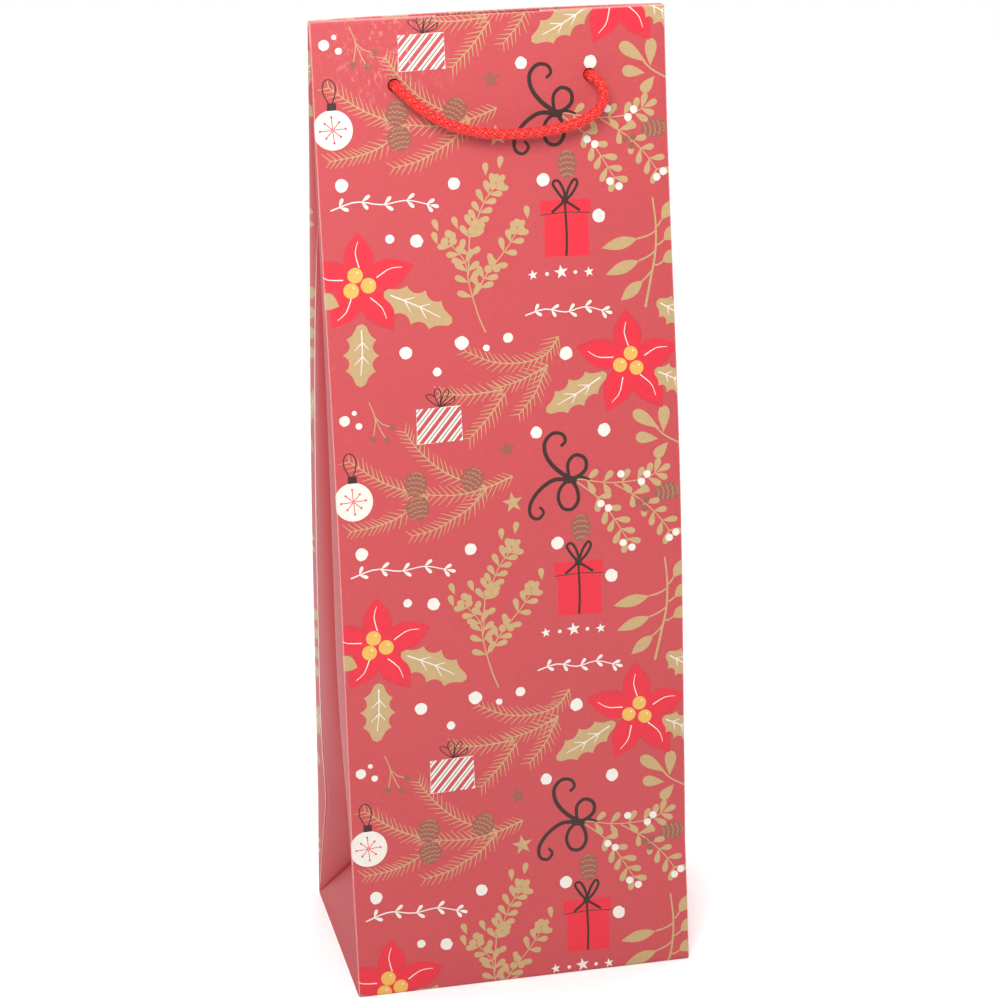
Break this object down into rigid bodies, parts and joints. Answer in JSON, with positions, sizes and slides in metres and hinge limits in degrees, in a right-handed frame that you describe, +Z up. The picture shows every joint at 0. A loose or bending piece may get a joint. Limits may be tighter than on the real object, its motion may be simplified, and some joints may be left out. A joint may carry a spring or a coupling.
{
  "type": "wine gift bag",
  "caption": "Tall narrow block-bottom paper gift bag for a bottle, with gusseted sides, turned-in top, printed winter pattern and knotted cord handles.",
  "frame": {"origin": "on the ground under the middle of the bag's bottom", "axes": "+Z up along the bag's height, +X across its width to the right seen from the front, -Y towards the front"},
  "size_m": [0.127, 0.09, 0.3549],
  "materials": {
    "printed_paper": "satin",
    "plain_red_paper": "satin",
    "top_card": "matte",
    "base_card": "matte",
    "handle_cord": "satin"
  },
  "bodies": {
    "base": {"bottom_outer_flap": "printed_paper", "bottom_inner_flap": "printed_paper", "left_dust_flap": "plain_red_paper", "right_dust_flap": "plain_red_paper", "base_card": "base_card"},
    "front_wall": {"front_panel": "printed_paper", "front_top_card": "top_card", "front_hem": "printed_paper", "front_handle_left_tail": "handle_cord", "front_handle_left_knot": "handle_cord", "front_handle_right_tail": "handle_cord", "front_handle_right_knot": "handle_cord"},
    "back_wall": {"back_panel": "printed_paper", "back_top_card": "top_card", "back_hem": "printed_paper", "back_handle_left_tail": "handle_cord", "back_handle_left_knot": "handle_cord", "back_handle_right_tail": "handle_cord", "back_handle_right_knot": "handle_cord"},
    "left_wall": {"left_side": "plain_red_paper"},
    "right_wall": {"right_side": "plain_red_paper"},
    "front_left_fold": {"front_left_gusset": "plain_red_paper"},
    "front_right_fold": {"front_right_gusset": "plain_red_paper"},
    "back_left_fold": {"back_left_gusset": "plain_red_paper", "glue_seam": "printed_paper"},
    "back_right_fold": {"back_right_gusset": "plain_red_paper"},
    "front_handle": {"front_handle_loop": "handle_cord"},
    "back_handle": {"back_handle_loop": "handle_cord"}
  },
  "joints": [
    {"name": "mouth_open", "type": "hinge", "parent": "base", "child": "front_wall", "pos_m": [0, -0.045, 0.0002], "axis": [1, 0, 0], "range_deg": [0, 4.5]},
    {"name": "back_wall_lean", "type": "hinge", "parent": "base", "child": "back_wall", "pos_m": [0, 0.045, 0.0002], "axis": [1, 0, 0], "range_deg": [-4.5, 0]},
    {"name": "left_wall_lean", "type": "hinge", "parent": "base", "child": "left_wall", "pos_m": [-0.0635, 0, 0.0002], "axis": [0, 1, 0], "range_deg": [-1.1, 0]},
    {"name": "right_wall_lean", "type": "hinge", "parent": "base", "child": "right_wall", "pos_m": [0.0635, 0, 0.0002], "axis": [0, 1, 0], "range_deg": [0, 1.1]},
    {"name": "front_left_fold_turn", "type": "hinge", "parent": "front_wall", "child": "front_left_fold", "pos_m": [-0.0632, -0.02219, 0.17876], "axis": [0, 0.114, 0.9935], "range_deg": [0, 35.2]},
    {"name": "front_right_fold_turn", "type": "hinge", "parent": "front_wall", "child": "front_right_fold", "pos_m": [0.0632, -0.02219, 0.17876], "axis": [0, 0.114, 0.9935], "range_deg": [-35.2, 0]},
    {"name": "back_left_fold_turn", "type": "hinge", "parent": "back_wall", "child": "back_left_fold", "pos_m": [-0.0632, 0.02219, 0.17876], "axis": [0, -0.114, 0.9935], "range_deg": [-35.2, 0]},
    {"name": "back_right_fold_turn", "type": "hinge", "parent": "back_wall", "child": "back_right_fold", "pos_m": [0.0632, 0.02219, 0.17876], "axis": [0, -0.114, 0.9935], "range_deg": [0, 35.2]},
    {"name": "front_handle_swing", "type": "hinge", "parent": "front_wall", "child": "front_handle", "pos_m": [0, -0.00921, 0.33228], "axis": [-1, 0, 0], "range_deg": [0, 145]},
    {"name": "back_handle_swing", "type": "hinge", "parent": "back_wall", "child": "back_handle", "pos_m": [0, 0.00921, 0.33228], "axis": [1, 0, 0], "range_deg": [0, 145]}
  ],
  "couplings": [
    {"joint": "back_wall_lean", "follows": "mouth_open", "ratio": -1},
    {"joint": "left_wall_lean", "follows": "mouth_open", "ratio": -0.24},
    {"joint": "right_wall_lean", "follows": "mouth_open", "ratio": 0.24},
    {"joint": "front_left_fold_turn", "follows": "mouth_open", "ratio": 7.8},
    {"joint": "front_right_fold_turn", "follows": "mouth_open", "ratio": -7.8},
    {"joint": "back_left_fold_turn", "follows": "mouth_open", "ratio": -7.8},
    {"joint": "back_right_fold_turn", "follows": "mouth_open", "ratio": 7.8}
  ]
}
